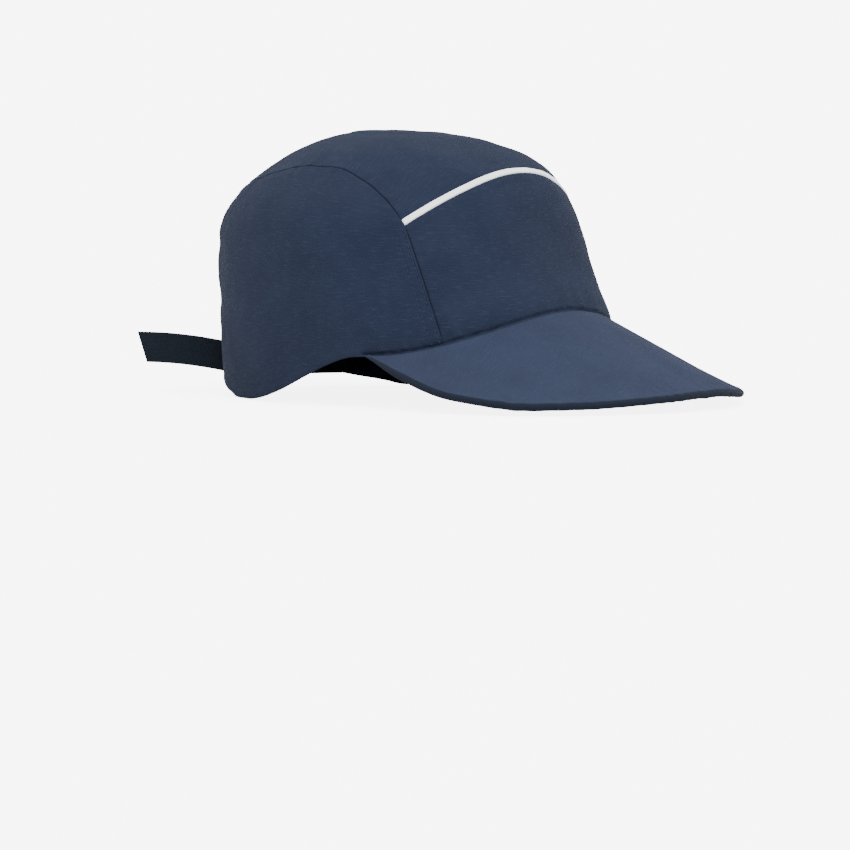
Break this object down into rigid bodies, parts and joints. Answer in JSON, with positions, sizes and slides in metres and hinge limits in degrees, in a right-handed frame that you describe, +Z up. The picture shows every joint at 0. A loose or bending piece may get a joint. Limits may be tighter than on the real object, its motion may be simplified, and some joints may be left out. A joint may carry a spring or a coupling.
{
  "type": "five-panel cap",
  "caption": "Five-panel cap with a soft crown, an arched peak, a white tape in the front seam and a webbing strap closure at the back.",
  "frame": {"origin": "middle of the cap's box, on the surface that it rests on", "axes": "+Z up, -Y the way the peak points, -X the wearer's right"},
  "size_m": [0.186, 0.3062, 0.1293],
  "materials": {
    "navy_cloth": "fine woven cloth, matt with a faint sheen",
    "navy_under_cloth": "fine woven cloth, matt",
    "white_tape": "smooth woven tape, matt",
    "navy_webbing": "ribbed flat webbing",
    "black_plastic": "plain moulded plastic"
  },
  "bodies": {
    "root": {"front_panel": "navy_cloth", "top_panel": "navy_cloth", "side_panel_right": "navy_cloth", "side_panel_left": "navy_cloth", "back_panel": "navy_cloth", "seam_tape": "white_tape", "peak": "navy_cloth", "peak_underside": "navy_under_cloth", "back_strap": "navy_webbing", "buckle_strap": "navy_webbing", "strap_buckle": "black_plastic"}
  },
  "joints": []
}
